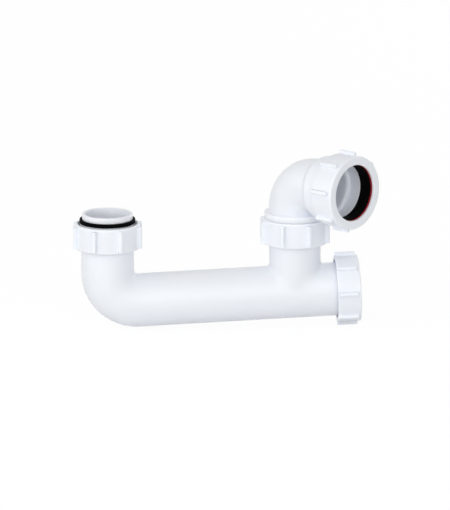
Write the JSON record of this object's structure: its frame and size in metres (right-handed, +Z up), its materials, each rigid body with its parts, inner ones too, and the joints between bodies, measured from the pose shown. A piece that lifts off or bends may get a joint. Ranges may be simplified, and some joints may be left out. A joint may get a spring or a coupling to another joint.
{
  "type": "p trap",
  "caption": "Long low P trap: upright inlet with a captive union nut, gently rising pipe, screwed cleaning eye and a swivel elbow with a compression outlet for waste pipe.",
  "frame": {"origin": "on the inlet axis at the top face of the inlet washer, where the waste's tail seats", "axes": "+Z up along the inlet axis towards the waste, +X along the pipe towards the cleaning eye, +Y away from the side that the outlet is turned to"},
  "size_m": [0.2481, 0.0979, 0.1538],
  "materials": {
    "white_plastic_body": "satin",
    "white_plastic_nut": "satin",
    "white_plastic_elbow": "satin",
    "black_rubber": "matt",
    "red_plastic": "satin"
  },
  "bodies": {
    "trap_body": {"trap_body": "white_plastic_body", "inlet_washer": "black_rubber"},
    "inlet_nut": {"inlet_nut": "white_plastic_nut"},
    "elbow_nut": {"elbow_nut": "white_plastic_nut"},
    "elbow_washer": {"elbow_washer": "black_rubber"},
    "outlet_elbow": {"outlet_elbow": "white_plastic_elbow", "outlet_seal": "black_rubber"},
    "outlet_slip_ring": {"outlet_slip_ring": "red_plastic"},
    "outlet_nut": {"outlet_nut": "white_plastic_nut"},
    "cleaning_eye_washer": {"cleaning_eye_washer": "black_rubber"},
    "cleaning_eye_cap": {"cleaning_eye_cap": "white_plastic_nut"}
  },
  "joints": [
    {"name": "inlet_nut_spin", "type": "hinge", "parent": "trap_body", "child": "inlet_nut", "pos_m": [0, 0, -0.014], "axis": [0, 0, 1], "continuous": true},
    {"name": "elbow_nut_turn", "type": "hinge", "parent": "trap_body", "child": "elbow_nut", "pos_m": [0.1533, 0, -0.012], "axis": [0, 0, -1], "range_deg": [0, 1440]},
    {"name": "elbow_swivel", "type": "hinge", "parent": "trap_body", "child": "elbow_washer", "pos_m": [0.1533, 0, -0.01275], "axis": [0, 0, 1], "continuous": true},
    {"name": "elbow_lift", "type": "slide", "parent": "elbow_washer", "child": "outlet_elbow", "axis": [0, 0, 1], "range_m": [0, 0.00923]},
    {"name": "outlet_nut_travel", "type": "slide", "parent": "outlet_elbow", "child": "outlet_slip_ring", "axis": [0.6884, -0.7254, 0], "range_m": [0, 0.00924]},
    {"name": "outlet_nut_turn", "type": "hinge", "parent": "outlet_slip_ring", "child": "outlet_nut", "pos_m": [0.19116, -0.0399, 0.0293], "axis": [0.6884, -0.7254, 0], "range_deg": [0, 1440]},
    {"name": "cleaning_cap_travel", "type": "slide", "parent": "trap_body", "child": "cleaning_eye_washer", "axis": [0.999, 0, 0.0436], "range_m": [0, 0.00924]},
    {"name": "cleaning_cap_turn", "type": "hinge", "parent": "cleaning_eye_washer", "child": "cleaning_eye_cap", "pos_m": [0.19826, 0, -0.06124], "axis": [0.999, 0, 0.0436], "range_deg": [0, 1440]}
  ],
  "couplings": [
    {"joint": "elbow_nut_turn", "follows": "elbow_lift", "rad_per_m": 2721.2},
    {"joint": "outlet_nut_travel", "follows": "outlet_nut_turn", "m_per_rad": 0.00036749},
    {"joint": "cleaning_cap_travel", "follows": "cleaning_cap_turn", "m_per_rad": 0.00036749}
  ]
}
